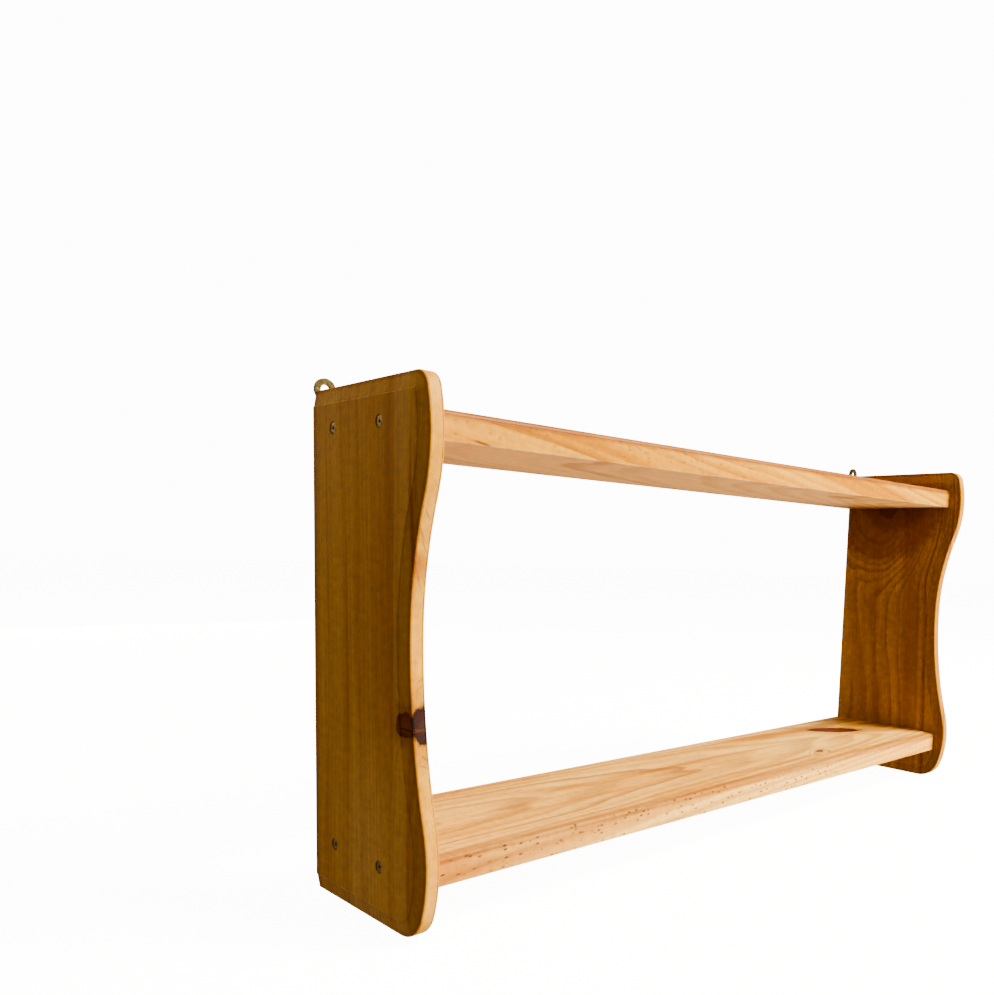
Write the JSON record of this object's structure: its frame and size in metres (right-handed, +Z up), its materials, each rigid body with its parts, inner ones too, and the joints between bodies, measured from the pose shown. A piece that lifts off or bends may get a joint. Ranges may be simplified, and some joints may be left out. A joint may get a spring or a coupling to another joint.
{
  "type": "hanging wall shelf",
  "caption": "Hanging pine wall shelf: waisted, moulded side boards with straight shelf boards screwed between them and brass hanging eyes on the back edges.",
  "frame": {"origin": "centre of the object's box, on the surface that its feet stand on", "axes": "+X along the shelves to the right, -Y to the front, +Y to the wall, +Z up"},
  "size_m": [0.695, 0.144, 0.3594],
  "materials": {
    "pine": "satin varnish, amber with age",
    "brass": "dull, aged",
    "plated_steel": "yellow-passivated zinc plating"
  },
  "bodies": {
    "root": {"left_side": "pine", "right_side": "pine", "top_shelf": "pine", "bottom_shelf": "pine", "left_hanging_eye": "brass", "right_hanging_eye": "brass", "left_top_back_screw": "plated_steel", "left_top_front_screw": "plated_steel", "left_bottom_back_screw": "plated_steel", "left_bottom_front_screw": "plated_steel", "right_top_back_screw": "plated_steel", "right_top_front_screw": "plated_steel", "right_bottom_back_screw": "plated_steel", "right_bottom_front_screw": "plated_steel", "left_eye_upper_screw": "brass", "left_eye_lower_screw": "brass", "right_eye_upper_screw": "brass", "right_eye_lower_screw": "brass"}
  },
  "joints": []
}
